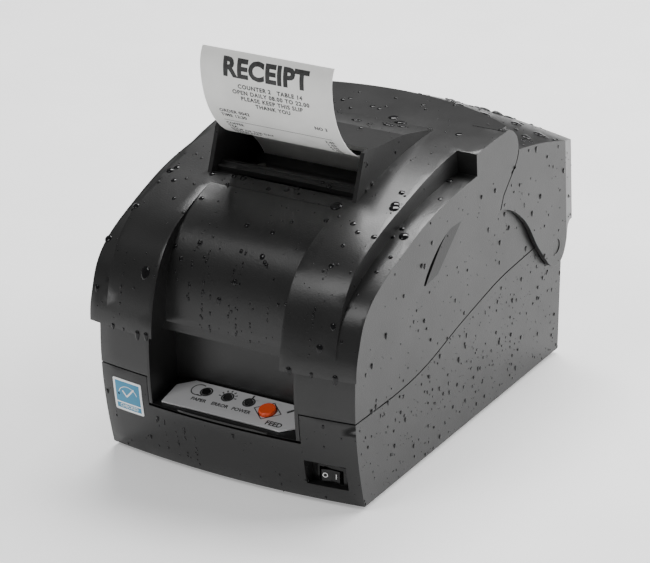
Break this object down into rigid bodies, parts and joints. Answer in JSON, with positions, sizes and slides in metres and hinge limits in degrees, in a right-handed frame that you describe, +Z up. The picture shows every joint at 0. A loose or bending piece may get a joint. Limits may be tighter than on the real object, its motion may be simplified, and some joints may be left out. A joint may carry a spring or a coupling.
{
  "type": "receipt printer",
  "caption": "Counter-top impact receipt printer with hinged front and rear covers, hooded paper exit, control panel and power rocker.",
  "frame": {"origin": "on the counter, at the centre of the bounding box of the whole printer", "axes": "+X to the right seen from the front, +Y to the back (the control panel faces -Y), +Z up"},
  "size_m": [0.154, 0.2286, 0.2046],
  "materials": {
    "case_plastic": "fine-grained satin charcoal",
    "button_plastic": "glossy orange red",
    "panel_metal": "silver grey, finely brushed",
    "window_plastic": "dark smoked",
    "label_film": "blue print on white film",
    "rubber": "matt",
    "steel": "bright",
    "dark_steel": "blackened",
    "screw_steel": "zinc plated",
    "paper": "smooth white",
    "card": "grey-brown core",
    "board": "green solder mask",
    "chip_plastic": "moulded",
    "switch_plastic": "glossy black",
    "inner_plastic": "smooth dark grey",
    "head_metal": "cast, finned",
    "brass": "turned",
    "ribbon": "inked purple-black",
    "connector": "moulded"
  },
  "bodies": {
    "case": {"lower_case": "case_plastic", "upper_case": "case_plastic", "case_posts": "case_plastic", "control_plate": "panel_metal", "indicator_windows": "window_plastic", "control_board": "board", "feed_switch": "chip_plastic", "switch_housing": "switch_plastic", "front_label": "label_film", "feet": "rubber", "case_screws": "screw_steel", "front_hinge_pins": "steel", "rear_hinge_studs": "case_plastic", "paper_web": "paper", "paper_tray": "inner_plastic", "mechanism_frame": "steel", "carriage_shaft": "steel", "platen": "dark_steel", "feed_motor": "dark_steel", "carriage_motor": "dark_steel", "pulley_posts": "steel", "drive_belt": "rubber", "ribbon_cassette": "inner_plastic", "ink_ribbon": "ribbon", "main_board": "board", "board_parts": "chip_plastic", "board_screws": "screw_steel", "interface_plate": "steel", "power_inlet": "connector", "data_port": "connector", "drawer_jack": "connector"},
    "front_cover": {"front_cover": "case_plastic", "tear_bar": "dark_steel", "tear_bar_screws": "screw_steel", "receipt": "paper"},
    "rear_cover": {"rear_cover": "case_plastic"},
    "feed_button": {"feed_button": "button_plastic"},
    "power_rocker": {"power_rocker": "switch_plastic"},
    "carriage": {"carriage": "inner_plastic", "print_head": "head_metal"},
    "drive_pulley": {"drive_pulley": "brass"},
    "idler_pulley": {"idler_pulley": "brass"},
    "feed_roller": {"feed_shaft": "steel", "feed_tyres": "rubber"},
    "pinch_roller": {"pinch_roller": "inner_plastic"},
    "paper_roll": {"paper_roll": "paper", "roll_core": "card"},
    "low_paper_lever": {"low_paper_lever": "inner_plastic"},
    "ribbon_knob": {"ribbon_knob": "inner_plastic"}
  },
  "joints": [
    {"name": "front_cover_hinge", "type": "hinge", "parent": "case", "child": "front_cover", "pos_m": [0, 0.0363, 0.134], "axis": [-1, 0, 0], "range_deg": [0, 50]},
    {"name": "rear_cover_hinge", "type": "hinge", "parent": "case", "child": "rear_cover", "pos_m": [0, 0.0857, 0.064], "axis": [-1, 0, 0], "range_deg": [0, 50]},
    {"name": "feed_button_press", "type": "slide", "parent": "case", "child": "feed_button", "axis": [0, 0.2164, -0.9763], "range_m": [0, 0.0006], "stiffness_N_per_m": 300, "springref_m": -0.001},
    {"name": "power_rocker_tilt", "type": "hinge", "parent": "case", "child": "power_rocker", "pos_m": [0.056, -0.0977, 0.0155], "axis": [0, 0, 1], "range_deg": [0, 14]},
    {"name": "carriage_slide", "type": "slide", "parent": "case", "child": "carriage", "axis": [1, 0, 0], "range_m": [-0.028, 0.028]},
    {"name": "drive_pulley_spin", "type": "hinge", "parent": "case", "child": "drive_pulley", "pos_m": [0.046, -0.0607, 0.07], "axis": [0, 0, 1], "range_deg": [-300, 300]},
    {"name": "idler_pulley_spin", "type": "hinge", "parent": "case", "child": "idler_pulley", "pos_m": [-0.046, -0.0607, 0.07], "axis": [0, 0, 1], "range_deg": [-300, 300]},
    {"name": "paper_roll_spin", "type": "hinge", "parent": "case", "child": "paper_roll", "pos_m": [0, 0.0413, 0.08], "axis": [1, 0, 0], "continuous": true},
    {"name": "feed_roller_spin", "type": "hinge", "parent": "case", "child": "feed_roller", "pos_m": [0, -0.0023, 0.072], "axis": [1, 0, 0], "continuous": true},
    {"name": "pinch_roller_spin", "type": "hinge", "parent": "case", "child": "pinch_roller", "pos_m": [0, -0.014, 0.072], "axis": [1, 0, 0], "continuous": true},
    {"name": "low_paper_lever_swing", "type": "hinge", "parent": "case", "child": "low_paper_lever", "pos_m": [0.0395, 0.0668, 0.06806], "axis": [1, 0, 0], "range_deg": [0, 14]},
    {"name": "ribbon_knob_turn", "type": "hinge", "parent": "case", "child": "ribbon_knob", "pos_m": [-0.048, -0.0387, 0.116], "axis": [0, 0, 1], "continuous": true}
  ],
  "couplings": [
    {"joint": "drive_pulley_spin", "follows": "carriage_slide", "rad_per_m": -156.25},
    {"joint": "idler_pulley_spin", "follows": "carriage_slide", "rad_per_m": -156.25},
    {"joint": "feed_roller_spin", "follows": "paper_roll_spin", "ratio": 5.7667},
    {"joint": "pinch_roller_spin", "follows": "paper_roll_spin", "ratio": -7.0612}
  ]
}
